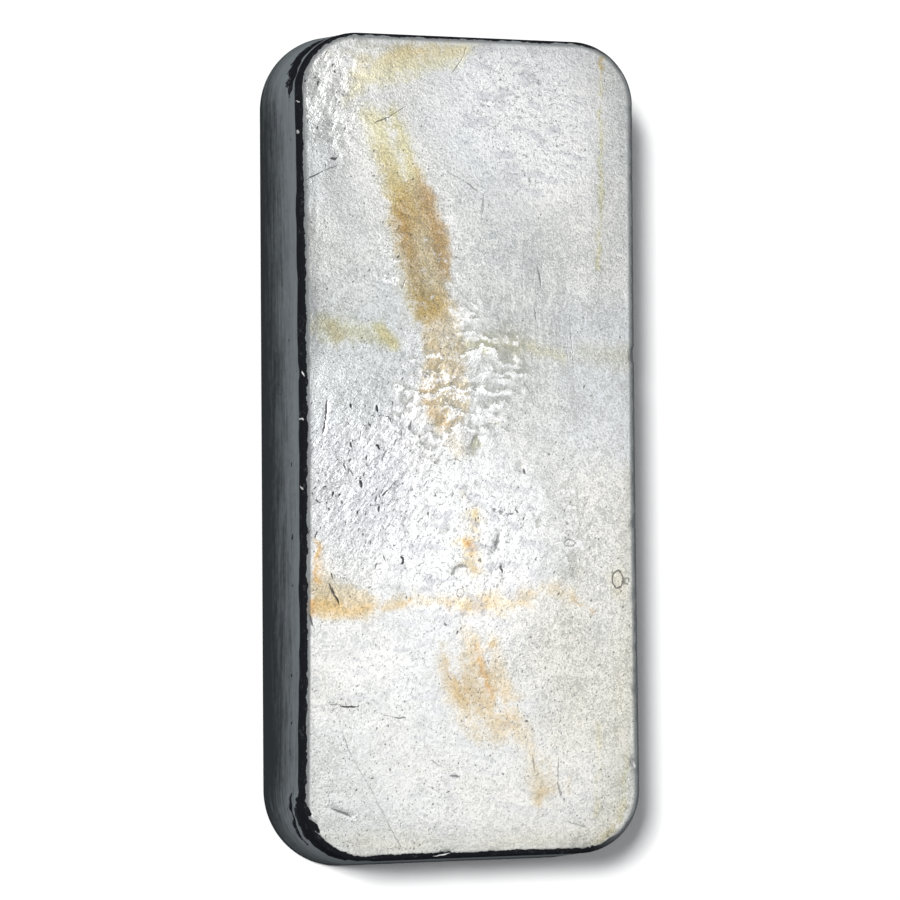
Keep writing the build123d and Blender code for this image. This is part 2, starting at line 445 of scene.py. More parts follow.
stains = [
    ("yellow", [(-19.8, 65, 2.8), (-18.4, 60, 3.0), (-16.4, 55, 2.8), (-14.6, 48, 2.0)], 0.8, 3.0),
    ("yellow", [(-15.4, 66, 1.8), (-13.0, 60, 2.0), (-11.6, 54, 2.2)], 0.85, 2.6),
    ("tan", [(-18.0, 58, 0.4), (-15.4, 51, 2.6), (-12.8, 46, 4.0)], 0.6, 2.8),
    ("tan", [(-11.8, 48, 4.4), (-10.0, 41, 5.0), (-8.6, 34, 4.5), (-8.4, 28, 4.0)], 0.82, 2.2),
    ("yellow", [(-16.0, 44, 1.0), (-13.0, 33, 1.6), (-10.6, 26, 2.4)], 0.4, 3.0),
    ("brown", [(-11.2, 55.4, 0.3), (-8.8, 50.5, 1.1), (-6.6, 44, 1.8), (-5.3, 38, 1.8), (-4.4, 33, 0.8)],
     0.85, 1.5),
    ("brown", [(-14.4, 47, 1.0), (-12.8, 40, 1.8), (-11.6, 33, 1.8), (-10.6, 27, 1.0)], 0.5, 2.2),
    ("yellow", [(-11.6, 30, 1.4), (-9.6, 27, 1.6), (-6.4, 27, 1.2)], 0.4, 2.0),
    ("tan", [(-9.6, 9.4, 0.8), (-9.4, 7.6, 0.6)], 0.45, 1.4),
    ("peach", [(-6.0, 26, 4.4), (-5.8, 17, 4.6), (-5.4, 8, 4.6)], 0.72, 2.0),
    ("tan", [(-8.4, 20, 2.0), (-6.4, 14, 2.6), (-8.4, 6, 2.0), (-3.2, 5, 1.6)], 0.42, 2.4),
    ("olive", [(-5.8, 15.6, 1.2), (-4.4, 11.4, 0.8)], 0.35, 1.6),
    ("olive", [(-8.4, 21.6, 0.9), (-6.4, 20, 1.0), (-2.6, 20.6, 0.7)], 0.3, 1.4),
    ("ochre", [(-9.8, 13, 1.0), (-9.2, 8.5, 1.4), (-8.6, 6.5, 0.8)], 0.45, 1.6),
    ("ochre", [(-2.2, 20, 0.8), (-1.2, 13, 1.1), (-1.0, 7, 1.3)], 0.4, 1.6),
    ("peach", [(-6.0, 4, 2.4), (-2.6, -0.5, 2.2)], 0.5, 2.2),
    ("olive", [(1.4, 2.4, 0.5), (1.4, 0.4, 1.1), (0.2, -1.6, 0.6)], 0.75, 0.8),
    ("olive", [(-2.4, -2.4, 0.6)], 0.5, 0.8),
    ("olive", [(3.4, 4.4, 0.5), (5.6, 4.0, 0.6)], 0.65, 0.7),
    ("olive", [(9.6, -3.4, 0.4), (10.8, -5.6, 0.5)], 0.6, 0.7),
    ("olive", [(-6.4, 5.8, 0.5), (-6.8, 4.0, 0.5)], 0.8, 0.7),
    ("olive", [(-4.0, 18, 1.0), (2, 21, 2.0), (8, 22, 3.0), (10, 16, 2)], 0.3, 3.0),
    ("olive", [(-6.4, -17.4, 0.3), (-4.4, -16.0, 0.4), (-2.4, -16.6, 0.4)], 0.4, 0.7),
    ("olive", [(-4.6, -26.2, 0.3), (-3.6, -23.6, 0.5), (-1.4, -23.2, 0.6), (1.0, -24.8, 0.6)], 0.4, 0.8),
    ("olive", [(21, -22.6, 1.2), (23, -26, 1.4)], 0.25, 1.8),
    ("peach", [(-1.6, -10.4, 0.8)], 0.6, 1.8),
    ("peach", [(0.6, -13.4, 1.4), (1.0, -16.4, 1.2)], 0.9, 2.4),
    ("peach", [(-3.4, -19.6, 0.6), (0.0, -20, 2.2), (0.6, -24.6, 2.0)], 0.9, 2.4),
    ("yellow", [(0.4, -14.0, 0.8)], 0.7, 1.0),
    ("ochre", [(-1.8, -19.0, 0.4), (-0.2, -20.6, 0.9)], 0.75, 0.9),
    ("orange", [(-1.0, -19.6, 0.3), (0.4, -20.8, 0.3)], 0.6, 0.7),
    ("ochre", [(0.6, -24.6, 0.8)], 0.3, 1.2),
    ("yellow", [(-31.5, 23.5, 2.4), (-27, 22.4, 3.0), (-22, 22, 2.4)], 0.55, 2.4),
    ("ochre", [(-28.4, 23.4, 1.0), (-27.0, 21.4, 1.0)], 0.35, 1.8),
    ("yellow", [(-19, 23.4, 1.6), (-17.4, 21.2, 2.4), (-15.4, 19.4, 1.6)], 0.8, 1.6),
    ("ochre", [(-17.8, 22, 1.0), (-16.0, 20, 0.8)], 0.35, 1.4),
    ("yellow", [(-1, 20.4, 1.2), (3, 19.4, 1.6)], 0.6, 1.6),
    ("yellow", [(4, 20, 1.6), (14, 19.4, 1.8), (18.7, 17.8, 1.6)], 0.5, 2.4),
    ("orange", [(-33.4, -31.6, 1.2), (-33.2, -33.4, 1.0)], 0.7, 1.2),
    ("ochre", [(-33.2, -31.4, 1.8), (-29.4, -32.4, 2.2), (-24.8, -33.2, 1.4), (-21, -32, 0.7)], 0.6, 1.4),
    ("peach", [(-33, -27.6, 1.6), (-30, -30, 3.4), (-22, -31.6, 3.2)], 0.85, 2.4),
    ("orange", [(-31.8, -18.8, 0.5), (-31.6, -22.4, 0.8), (-31.7, -26.4, 0.7)], 0.8, 0.8),
    ("peach", [(-31, -20, 1.4), (-30, -27, 1.4)], 0.35, 2.0),
    ("ochre", [(-18.4, -32.2, 0.8), (-13.4, -31.0, 1.0)], 0.5, 1.4),
    ("peach", [(-15, -31.4, 1.0), (-12, -31, 1.2), (-4, -31.6, 2.2), (4, -32, 2.6), (11, -31.6, 2.2)],
     0.85, 3.2),
    ("ochre", [(-4.6, -32.8, 0.7), (0.6, -33.2, 1.0), (3.0, -31.4, 0.5)], 0.5, 1.4),
    ("peach", [(12, -30, 1.2), (17, -29.0, 2.0), (21, -31, 1.6)], 0.65, 3.0),
    ("orange", [(21.4, -31.8, 0.5), (25.6, -33.8, 0.6)], 0.5, 1.4),
    ("peach", [(-6.8, -38.6, 0.4), (-5.6, -44, 1.6), (-3.4, -50, 2.6), (1.0, -58, 1.4)], 0.72, 4.0),
    ("peach", [(-1.6, -37.6, 0.8), (-0.4, -44, 2.4), (2.0, -51, 3.4), (5.4, -57, 2.6)], 0.78, 4.0),
    ("peach", [(4.4, -38.4, 0.8), (5.0, -44, 1.8), (7.6, -51, 2.4), (7.4, -56, 1.6)], 0.7, 3.0),
    ("tan", [(-2.6, -43, 1.6), (-0.6, -48, 2.6), (2.6, -53, 1.6)], 0.35, 3.0),
    ("ochre", [(0.4, -38.8, 0.8), (1.4, -43.6, 1.2), (3.8, -50, 1.5)], 0.55, 2.0),
    ("ochre", [(-6.2, -41.6, 0.3), (-5.0, -46, 1.4), (-2.4, -50, 1.4)], 0.45, 2.2),
    ("orange", [(0.8, -40.8, 0.4), (1.8, -45.2, 0.6), (3.0, -49.6, 0.5)], 0.5, 0.9),
    ("peach", [(8, -52, 1.6), (11.6, -60, 1.8), (13.4, -68, 2.2), (13.6, -71.4, 1.8)], 0.65, 4.0),
    ("peach", [(15.0, -60, 0.4), (16.4, -69, 0.8)], 0.4, 3.0),
    ("tan", [(12.4, -71.0, 1.2), (15.4, -69.4, 0.8)], 0.3, 2.0),
    ("ochre", [(14.2, -70.4, 1.2)], 0.3, 2.0),
    ("yellow", [(-25, 68.8, 1.0), (-21.8, 73, 3.0), (-14, 76.4, 3.8), (-4, 78.8, 3.2), (0.8, 79.8, 1.4)],
     0.65, 2.6),
    ("ochre", [(-17, 77, 1.6), (-10, 78.4, 1.6)], 0.25, 1.8),
    ("tan", [(-21.6, 76.6, 1.2), (-23.4, 73.8, 0.9)], 0.3, 2.6),
    ("ochre", [(-14.4, 79.2, 1.2), (-8, 79.4, 1.6), (-0.6, 79.6, 1.0)], 0.3, 2.0),
    ("olive", [(-22.5, 79.6, 0.8), (-19.5, 79.8, 0.8)], 0.35, 1.4),
    ("tan", [(-13.8, 44, 1.0), (-12.8, 38, 1.0)], 0.4, 1.6),
    ("tan", [(-7, 15.4, 0.9), (-2.4, 15, 0.9), (-0.6, 14.8, 0.8)], 0.5, 1.6),
    ("tan", [(-12.2, 57, 0.8)], 0.3, 1.4),
    ("tan", [(19.4, -67, 0.7), (19.6, -70, 0.7)], 0.3, 1.2),
    ("ochre", [(3.6, -40, 0.9)], 0.7, 1.6),
    ("shade", [(20, -80.8, 0.6), (27, -79.6, 0.8), (30.8, -77.0, 0.6)], 0.75, 2.2),
    ("olive", [(-29, 77.4, 0.8), (-25.5, 78, 0.9), (-20, 77, 1.0)], 0.4, 1.4),
    ("olive", [(-21, 80.2, 0.4), (-12, 79.8, 0.4)], 0.35, 0.9),
    ("yellow", [(28.2, 79.6, 0.5), (28.0, 60, 0.6), (27.0, 36, 0.6)], 0.75, 0.9),
    ("ochre", [(28.4, 79.4, 0.7), (28.4, 76, 0.3)], 0.6, 0.9),
    ("yellow", [(26, -56, 0.5), (25.6, -75, 0.6)], 0.45, 1.0),
    ("yellow", [(32.4, -60, 0.4), (31.8, -68, 0.5), (30.4, -76, 0.9), (26.4, -79.6, 1.2)], 0.65, 1.4),
    ("tan", [(29.6, -76.6, 1.0), (26, -79.4, 1.2)], 0.2, 2.4),
]

# dark marks on the face: from, to, half width and strength, in mm
scratches = [
    (-33.4, 52.3, -30.4, 54.0, 0.16, 0.8),
    (-30.0, 54.1, -26.9, 55.3, 0.14, 0.6),
    (-19.5, 64.0, -16.0, 65.6, 0.16, 0.7),
    (-16.0, 65.6, -12.6, 68.0, 0.14, 0.6),
    (-26.6, -57.0, -25.2, -61.0, 0.12, 0.45),
    (-25.2, -61.0, -22.0, -66.4, 0.09, 0.35),
    (-22.0, -66.4, -18.4, -73.2, 0.09, 0.3),
    (-18.4, -73.2, -14.7, -80.4, 0.09, 0.45),
    (-29.2, -51.4, -27.4, -51.2, 0.16, 0.5),
    (-27.0, -51.7, -23.4, -51.9, 0.20, 0.9),
    (-18.8, -53.3, -15.5, -54.2, 0.12, 0.3),
    (-16.2, -54.2, -13.8, -54.0, 0.18, 0.7),
    (-29.3, -27.3, -28.2, -29.8, 0.22, 0.8),
    (-28.6, -28.2, -27.2, -31.8, 0.26, 0.9),
    (-29.4, 8.9, -29.7, 5.0, 0.26, 0.85),
    (-29.7, 5.0, -30.4, 2.0, 0.22, 0.85),
    (5.8, -17.4, 4.9, -21.4, 0.42, 0.45),
    (-5.0, -65.8, -2.8, -66.1, 0.30, 0.6),
    (17.8, -62.6, 17.5, -68.0, 0.18, 0.45),
    (17.4, -68.0, 18.2, -71.0, 0.26, 0.5),
    (12.2, -62.0, 12.7, -65.8, 0.22, 0.4),
    (-29.0, -71.4, -25.0, -73.2, 0.26, 0.7),
    (-3.4, 74.6, -1.2, 77.6, 0.15, 0.6),
    (-1.2, 77.6, 0.2, 80.8, 0.13, 0.5),
    (9.2, 80.9, 6.6, 77.4, 0.11, 0.35),
    (6.6, 77.4, 4.3, 73.2, 0.11, 0.35),
    (0.4, 78.2, 6.0, 80.4, 0.10, 0.3),
    (14.1, 36.8, 15.0, 32.0, 0.24, 0.5),
    (-4.6, 54.9, -1.4, 53.2, 0.14, 0.4),
    (-1.0, 53.0, 1.8, 51.0, 0.16, 0.6),
    (3.2, 50.6, 2.7, 45.9, 0.30, 0.4),
    (20.8, 27.0, 21.7, 15.2, 0.11, 0.45),
    (19.9, 21.4, 20.7, 16.2, 0.10, 0.35),
    (13.5, 27.8, 13.8, 25.1, 0.16, 0.5),
    (10.7, 13.4, 12.9, 9.8, 0.10, 0.35),
    (12.6, 54.2, 12.9, 53.0, 0.32, 0.5),
    (11.4, 58.8, 12.6, 58.2, 0.28, 0.4),
    (-14.2, 30.6, -13.4, 33.0, 0.18, 0.5),
    (-33.4, -33.4, -32.4, -35.8, 0.30, 0.8),
    (18.9, -75.6, 24.0, -77.2, 0.14, 0.35),
    (-9.0, -62.5, -6.5, -64.2, 0.14, 0.4),
    (-9.8, -67.4, -6.6, -69.4, 0.12, 0.3),
    (10.8, -55.3, 11.4, -55.6, 0.34, 0.7),
    (5.8, -65.6, 6.3, -66.0, 0.26, 0.6),
    (-17.4, -64.1, -17.0, -64.5, 0.24, 0.6),
    (-5.8, -35.6, -5.2, -36.0, 0.30, 0.6),
    (29.4, -41.7, 29.8, -42.1, 0.24, 0.5),
]
# dark curls: points along each, then half width and strength, in mm
curls = [
    ([(-24.7, 8.2), (-24.4, 7.1)], 0.26, 0.96),
    ([(-19.3, 7.9), (-19.1, 6.4)], 0.36, 1.00),
    ([(-21.1, 4.5), (-20.5, 3.4)], 0.22, 0.72),
    ([(-17.6, 5.5), (-16.6, 5.3), (-16.4, 4.1)], 0.12, 0.84),
    ([(-22.5, 2.8), (-22.6, 1.9), (-23.1, 1.1)], 0.19, 0.60),
    ([(-24.8, 0.5), (-24.6, -0.7)], 0.29, 0.90),
    ([(-19.6, -0.1), (-19.1, -0.3), (-18.8, -1.0)], 0.22, 1.00),
    ([(-12.2, 4.7), (-12.5, 3.7), (-12.8, 2.9)], 0.31, 0.72),
    ([(-15.4, 1.1), (-15.8, -0.3)], 0.26, 0.60),
    ([(-21.4, -2.1), (-21.4, -3.1)], 0.24, 0.90),
    ([(-17.4, -1.1), (-18.0, -2.3), (-18.3, -3.5)], 0.18, 0.60),
    ([(-26.0, -3.3), (-25.8, -5.1)], 0.24, 0.72),
    ([(-24.8, -4.9), (-24.2, -6.3)], 0.18, 0.72),
    ([(-21.7, -5.5), (-22.2, -6.3)], 0.24, 0.72),
    ([(-23.0, -7.1), (-22.5, -7.9), (-22.5, -8.6)], 0.34, 0.96),
    ([(-28.4, -10.4), (-28.1, -9.2)], 0.26, 0.96),
    ([(-17.4, -9.3), (-18.4, -10.3)], 0.31, 0.84),
    ([(-19.5, -10.2), (-19.7, -11.4)], 0.24, 0.72),
    ([(-15.3, -7.1), (-16.2, -7.9), (-17.1, -9.0)], 0.14, 0.72),
    ([(-19.0, -12.0), (-19.0, -13.4)], 0.31, 0.90),
    ([(-23.3, -13.0), (-23.5, -13.8)], 0.26, 0.96),
    ([(-26.6, -11.0), (-26.5, -11.8)], 0.26, 0.72),
    ([(10.9, -4.7), (11.4, -5.9)], 0.26, 0.84),
    ([(19.7, -15.4), (20.5, -16.0), (20.1, -16.4)], 0.14, 0.60),
    ([(-14.7, -22.1), (-14.0, -22.6), (-14.1, -23.3), (-14.6, -23.7)], 0.24, 0.96),
    ([(-4.2, -26.2), (-3.4, -24.4), (-1.9, -24.0), (-0.9, -24.6)], 0.36, 0.54),
    ([(4.2, -12.7), (5.8, -13.3), (7.3, -13.7), (9.0, -13.9)], 0.14, 0.60),
    ([(4.4, -13.3), (7.0, -14.3)], 0.12, 0.42),
    ([(-4.9, -3.1), (-3.2, -2.7), (-2.0, -3.5)], 0.14, 0.48),
]
for course, width, strength in curls:
    scratches += [(*start, *end, width, strength) for start, end in zip(course, course[1:])]
# rings of short dark marks: centre, half sizes, half width and strength, in mm
ringMarks = [
    (30.6, -27.2, 1.1, 1.8, 0.20, 0.7),
    (32.5, -27.6, 0.5, 0.7, 0.16, 0.5),
    (20.5, -19.8, 1.1, 0.65, 0.15, 0.5),
    (-2.4, -29.6, 0.8, 0.9, 0.14, 0.5),
]
for x, y, halfX, halfY, width, strength in ringMarks:
    turns = [math.radians(turn) for turn in range(0, 361, 36)]
    course = [(x + halfX * math.cos(turn), y + halfY * math.sin(turn)) for turn in turns]
    scratches += [(*start, *end, width, strength) for start, end in zip(course, course[1:])]
# bare bright nicks on the dark edge, the same way
nicks = [
    (-34.4, 14.6, -33.9, 13.4, 0.16, 0.8),
    (-34.6, 5.2, -34.0, 4.8, 0.12, 0.6),
    (-34.6, -8.0, -34.2, -9.0, 0.08, 0.5),
    (-34.9, 62.6, -34.7, 61.6, 0.10, 0.4),
    (-35.0, 68.4, -34.6, 67.8, 0.12, 0.5),
    (-8.4, -82.0, -5.0, -81.2, 0.16, 0.8),
    (32.9, -63.2, 33.9, -65.4, 0.30, 0.5),
]
# dents that change the shape: points along each with the half width there, depth and softness
dents = [
    ([(1.2, 1.4, 0.8), (0.4, -1.0, 0.8)], 0.14, 0.9),
    ([(4.6, 4.0, 0.8)], 0.1, 0.8),
    ([(10.2, -4.4, 0.6)], 0.12, 0.8),
    ([(-29.4, 8.8, 0.2), (-30.2, 2.4, 0.2)], 0.1, 0.6),
    ([(-29.0, -27.8, 0.2), (-27.3, -31.6, 0.3)], 0.1, 0.6),
    ([(5.8, -17.4, 0.5), (4.9, -21.4, 0.5)], 0.12, 0.8),
    ([(-29.0, -71.4, 0.2), (-25.0, -73.2, 0.3)], 0.12, 0.6),
    ([(34.4, 19.4, 0.4), (34.2, 17.6, 0.3)], 0.3, 0.7),
    ([(33.6, -64.2, 0.4)], 0.25, 0.7),
    ([(-8.4, -82.0, 0.3), (-5.4, -81.4, 0.4)], 0.35, 0.6),
    ([(3.4, -81.6, 0.4)], 0.3, 0.6),
    ([(-28, 64.5, 0.6)], 0.1, 1.0),
    ([(-31, 70.5, 0.6), (-30, 72.5, 0.5)], 0.1, 0.9),
]
# where the black edge bites into the face: points along each with the half width there
bites = [
    [(-34.8, 71.0, 0.7), (-34.7, 66.0, 0.8), (-34.8, 58.0, 0.5), (-34.8, 50.0, 0.2)],
    [(-34.9, -70.6, 0.5), (-34.0, -71.8, 0.6), (-33.4, -72.6, 0.4)],
    [(-33.6, -74.2, 0.7), (-32.4, -75.0, 0.7), (-31.6, -76.0, 0.3)],
    [(-34.8, 15.6, 0.3), (-34.6, 13.4, 0.4)],
    [(-34.6, -2.0, 0.1), (-34.6, -12.0, 0.3), (-34.7, -28.0, 0.3), (-34.8, -40.0, 0.2)],
    [(34.4, 19.6, 0.2), (34.3, 17.2, 0.4)],
]
# cold laps on the wall: the corner, then angles out of west or east in degrees with the distance below the
# face's border there, and the half width
coldLaps = [
    (-1, 1, (4, 6.6), (20, 7.6), (34, 8.8), (50, 9.6), (84, 10.0), 3.6),
    (-1, -1, (-14, 2.4), (6, 3.6), (24, 4.4), (45, 5.2), (66, 4.6), (100, 3.0), 3.6),
    (-1, -1, (-2, 8.0), (18, 9.2), (34, 10.4), (50, 11.0), 1.0),
]


def alongStroke(points, stroke):
    # each point's distance from a line of (x, y, half width), less the half width there
    nearest = np.full(len(points), 1e9)
    if len(stroke) == 1:
        stroke = stroke * 2
    for start, end in zip(stroke, stroke[1:]):
        start, end = np.array(start, float), np.array(end, float)
        way = end[:2] - start[:2]
        share = np.clip((points[:, :2] - start[:2]) @ way / max(way @ way, 1e-9), 0, 1)
        gap = np.linalg.norm(points[:, :2] - start[:2] - share[:, None] * way, axis=1)
        nearest = np.minimum(nearest, gap - start[2] - share * (end[2] - start[2]))
    return nearest


def wander(points, size, seed):
    # a smooth random value of about -1 to 1 at each point, of this wavelength in mm, on each of two axes
    grid = np.random.default_rng(seed).uniform(-1, 1, (2, 400, 400))
    at = points[:, :2] / (size / 2) + 200
    low = np.floor(at).astype(int)
    share = smooth(at - low)
    corners = [grid[:, low[:, 0] + i, low[:, 1] + j] for i in (0, 1) for j in (0, 1)]
    left = corners[0] * (1 - share[:, 1]) + corners[1] * share[:, 1]
    right = corners[2] * (1 - share[:, 1]) + corners[3] * share[:, 1]
    return (left * (1 - share[:, 0]) + right * share[:, 0]).T


def smooth(value):
    value = np.clip(value, 0, 1)
    return value * value * (3 - 2 * value)


def nearestMark(points):
    # the nearest mark's own coordinates at each point: along it from -1 to 1, across it in mm, half width;
    # then its strength, less than 0 on a bright nick, and the distance to it
    marks = np.array(scratches + [nick[:5] + (-nick[5],) for nick in nicks])
    nearest = np.full(len(points), 1e9)
    own, strength = np.zeros((len(points), 3)), np.zeros(len(points))
    for startX, startY, endX, endY, width, force in marks:
        way = np.array([endX - startX, endY - startY])
        length = np.linalg.norm(way)
        away = points[:, :2] - (startX, startY)
        share = away @ way / length**2
        across = (away[:, 0] * way[1] - away[:, 1] * way[0]) / length
        gap = np.hypot(across, np.maximum(np.abs(share - 0.5) - 0.5, 0) * length)
        closer = gap < nearest
        nearest[closer] = gap[closer]
        own[closer] = np.stack([share * 2 - 1, across, np.full(len(points), width)], -1)[closer]
        strength[closer] = force
    return own, strength, nearest


def coverOf(points, zones):
    cover = np.zeros(len(points))
    for x, y, halfX, halfY, turn, strength in zones:
        c, s = math.cos(math.radians(turn)), math.sin(math.radians(turn))
        dx, dy = points[:, 0] - x, points[:, 1] - y
        reach = np.hypot((dx * c + dy * s) / halfX, (dy * c - dx * s) / halfY)
        cover = np.maximum(cover, strength * smooth(1.5 - reach))
    return cover


def lapsOn(points, fromFace):
    # each slit is widest in the middle of its stretch and fades at both ends
    slit = np.zeros(len(points))
    radius = bar["pouredCorner"]
    for east, north, *course, width in coldLaps:
        dx = (points[:, 0] - east * (barSize.x / 2 - radius)) * east
        dy = (points[:, 1] - north * (barSize.y / 2 - radius)) * north
        angle = np.degrees(np.arctan2(dy, dx))
        depth = np.interp(angle, [turn for turn, below in course], [below for turn, below in course])
        share = (angle - course[0][0]) / (course[-1][0] - course[0][0])
        wide = width * np.sqrt(np.clip(4 * share * (1 - share), 0, 1))
        sway = 0.3 * np.sin(angle / 5) + 0.2 * np.sin(angle / 1.9)
        slit = np.maximum(slit, smooth(1.3 - np.abs(fromFace - depth - sway) / np.maximum(wide, 0.01)))
    return slit


def paintFace(mesh, points, fromFace):
    onFace = smooth(1 - fromFace / 0.6)
    for name, zones in faceZones.items():
        storeValues(mesh, name, coverOf(points, zones) * onFace)
    moved = points[:, :2] + 0.5 * wander(points, 5.0, 3) + 0.35 * wander(points, 2.2, 8)
    for layer, strokes in (("wash", washes), ("stain", stains)):
        tint = np.ones((len(points), 3))
        cover = np.zeros(len(points))
        for name, stroke, strength, softness in strokes:
            there = smooth(0.5 - alongStroke(moved, stroke) / (2 * softness))
            tint *= 1 - strength * there[:, None] * (1 - np.array(stainTints[name]))
            cover = np.maximum(cover, there)
        storeValues(mesh, layer, np.column_stack([tint, np.ones(len(points))]), "FLOAT_COLOR", "color")
    storeValues(mesh, "stainCover", cover)
    dent = np.zeros(len(points))
    above = points[:, 2] > 0.4 * thickness
    for stroke, depth, softness in dents:
        dent = np.maximum(dent, depth * smooth(0.6 - alongStroke(points, stroke) / (1.6 * softness)))
    bite = np.zeros(len(points))
    for stroke in bites:
        bite = np.maximum(bite, smooth(0.5 - alongStroke(points, stroke) / 0.9))
    bite = bite * above
    storeValues(mesh, "bite", bite)
    slit = lapsOn(points, fromFace)
    dent = dent + 0.12 * bite
    storeValues(mesh, "dent", dent * above + 0.35 * slit)
    storeValues(mesh, "slit", slit)
    own, strength, gap = nearestMark(points)
    storeValues(mesh, "mark", own, "FLOAT_VECTOR", "vector")
    storeValues(mesh, "markStrength", strength * smooth(2 - gap))


paintFace(barMesh, barPoints, fromFace)
print("zones, stains and dents painted")


# where the wall and the underside begin and end, in mm along the skin from the face's border
skin = {
    "wallFrom": 1.4,
    "wallFull": 3.0,
    "wallFades": 23.0,
    "wallEnds": 25.0,
    "undersideFrom": 25.5,
}

# relief that follows the skin, all of it cut inwards; sizes and depths in mm
relief = {
    "Wave Size": 17.0,
    "Wave Depth": 0.25,
    "Wrinkle Size": 1.9,
    "Wrinkle Depth": 0.13,
    "Front Depth": 0.15,
    "Bump Size": 1.6,
    "Bump Depth": 0.14,
    "Nibble Size": 2.6,
    "Nibble Depth": 0.35,
    "Streak Depth": 0.16,
    "Seed": 7.0,
}


def flowFronts(place):
    # the skin froze in flows that overlap like tiles: 0 at each one's foot, 1 at its front, which faces north
    flat = addVector("MULTIPLY", place, (1, 1, 0))
    broad = addNoise(addStretch(flat, (0.75, 1, 1), -6), 5.0, 1.0)
    fine = addNoise(addStretch(flat, (0.7, 1, 1), 0, (3, 8, 0)), 1.7, 3.0, 0.75)
    return addMath("FRACT", sumOf((axesOf(place)[1], 0.26), (broad, 2.7), (fine, 1.7)))


def buildRelief():
    sockets = [("Geometry", "NodeSocketGeometry", None)]
    sockets += [(name, "NodeSocketFloat", value) for name, value in relief.items()]
    sockets += [("Material", "NodeSocketMaterial", None), ("Under Material", "NodeSocketMaterial", None)]
    outputs = [("Geometry", "NodeSocketGeometry", None)]
    tree, given, result = newGroup("castRelief", "GeometryNodeTree", sockets, outputs)

    def named(name, kind="FLOAT"):
        return addNode(tree, "GeometryNodeInputNamedAttribute", {"Name": name}, data_type=kind).outputs[0]

    def noiseOf(place, size, detail, roughness=0.5, warp=0.0):
        scale = addMath("DIVIDE", 1.0, size) if isSocket(size) else 1 / size
        values = {"Vector": place, "W": given["Seed"], "Scale": scale}
        values.update({"Detail": detail, "Roughness": roughness, "Distortion": warp})
        return addNode(tree, "ShaderNodeTexNoise", values, noise_dimensions="4D").outputs["Fac"]

    place = addVector("SCALE", addNode(tree, "GeometryNodeInputPosition").outputs[0], scale=1 / mm)
    away, hammered = named("fromFace"), named("hammered")
    onFace = addStep(away, -0.2, 0.9, 1.0, 0.0)

    wave = times(noiseOf(place, given["Wave Size"], 1.0), given["Wave Depth"])

    # hammered skin: folds that lean to the right, flow fronts that lie across, and small bumps between
    fold = noiseOf(addStretch(place, (1.5, 0.55, 1.0), 32), given["Wrinkle Size"], 2.0, 0.5, 0.3)
    fold = addMath("ABSOLUTE", addMath("MULTIPLY_ADD", fold, 2.0, -1.0))
    fold = addStep(fold, 0.0, 0.4, 1.0, 0.0)
    patchy = addStep(noiseOf(place, 7.0, 1.0), 0.35, 0.62, 0.3, 1.0)
    wrinkle = times(fold, given["Wrinkle Depth"], hammered, patchy)
    front = addMath("SUBTRACT", 1.0, flowFronts(place))
    front = times(front, given["Front Depth"], named("crested"), patchy)

    bump = noiseOf(place, given["Bump Size"], 1.5, 0.6)
    bumpShare = addMath("MULTIPLY_ADD", hammered, 0.8, 0.2)
    bump = times(bump, given["Bump Depth"], bumpShare)

    # the border of the face is nibbled in places
    fromEdge = addMath("ABSOLUTE", addMath("SUBTRACT", away, 0.8))
    border = addMath("SUBTRACT", 1.0, addStep(fromEdge, 0.2, 1.2))
    nibble = addStep(noiseOf(place, given["Nibble Size"], 2.0, 0.6), 0.5, 0.75)
    somewhere = addStep(noiseOf(place, 15.0, 1.0), 0.35, 0.6, 0.2, 1.0)
    nibble = times(nibble, somewhere, given["Nibble Depth"], border)

    streaks = addVector("MULTIPLY", named("streaks", "FLOAT_VECTOR"), (1.0, 1.0, 0.8))
    wallBegins = addStep(away, skin["wallFrom"], skin["wallFull"])
    wallEnds = addStep(away, skin["wallFades"], skin["wallEnds"], 1.0, 0.0)
    streak = times(noiseOf(streaks, 1.6, 3.0), given["Streak Depth"], times(wallBegins, wallEnds))

    face = addMath("ADD", addMath("ADD", wave, wrinkle), addMath("ADD", front, bump))
    depth = times(face, onFace)
    for part in (nibble, streak, named("dent")):
        depth = addMath("ADD", depth, part)
    normal = addNode(tree, "GeometryNodeInputNormal").outputs[0]
    offset = addVector("SCALE", normal, scale=times(depth, -mm))
    low = addMath("GREATER_THAN", away, skin["undersideFrom"])
    geometry = given["Geometry"]
    for kind, inputs in (
        ("StoreNamedAttribute", {"Name": "cavity", "Value": addMath("ADD", wrinkle, bump)}),
        ("SetPosition", {"Offset": offset}),
        ("RealizeInstances", {}),
        ("SetMaterial", {"Material": given["Material"]}),
        ("SetMaterial", {"Selection": low, "Material": given["Under Material"]}),
    ):
        geometry = addNode(tree, "GeometryNode" + kind, {"Geometry": geometry, **inputs}).outputs[0]
    feed(result["Geometry"], geometry)
    return tree


# colours of the finish, with those of the painted shade, sheen and dark reflection
finish = {
    "coolSilver": (0.78, 0.80, 0.815, 1),
    "whiteSilver": (0.86, 0.85, 0.82, 1),
    "greySilver": (0.58, 0.59, 0.58, 1),
    "brightSilverAndSheen": (0.98, 0.98, 0.97, 1),
    "lilacGrey": (0.56, 0.57, 0.61, 1),
    "borderShadeGrey": (0.36, 0.38, 0.385, 1),
    "edgeShadeGrey": (0.12, 0.13, 0.135, 1),
    "footShadeGrey": (0.42, 0.42, 0.36, 1),
    "linesAndShadeGrey": (0.30, 0.31, 0.32, 1),
    "darkMarksAndShadeBlack": (0.035, 0.035, 0.04, 1),
    "bandReflectionBlack": (0.010, 0.011, 0.013, 1),
    "bandReflectionGrey": (0.13, 0.14, 0.145, 1),
    "wallReflectionLight": (0.140, 0.157, 0.166, 1),
    "wallReflectionDark": (0.024, 0.0275, 0.030, 1),
    "underSilver": (0.42, 0.42, 0.41, 1),
}


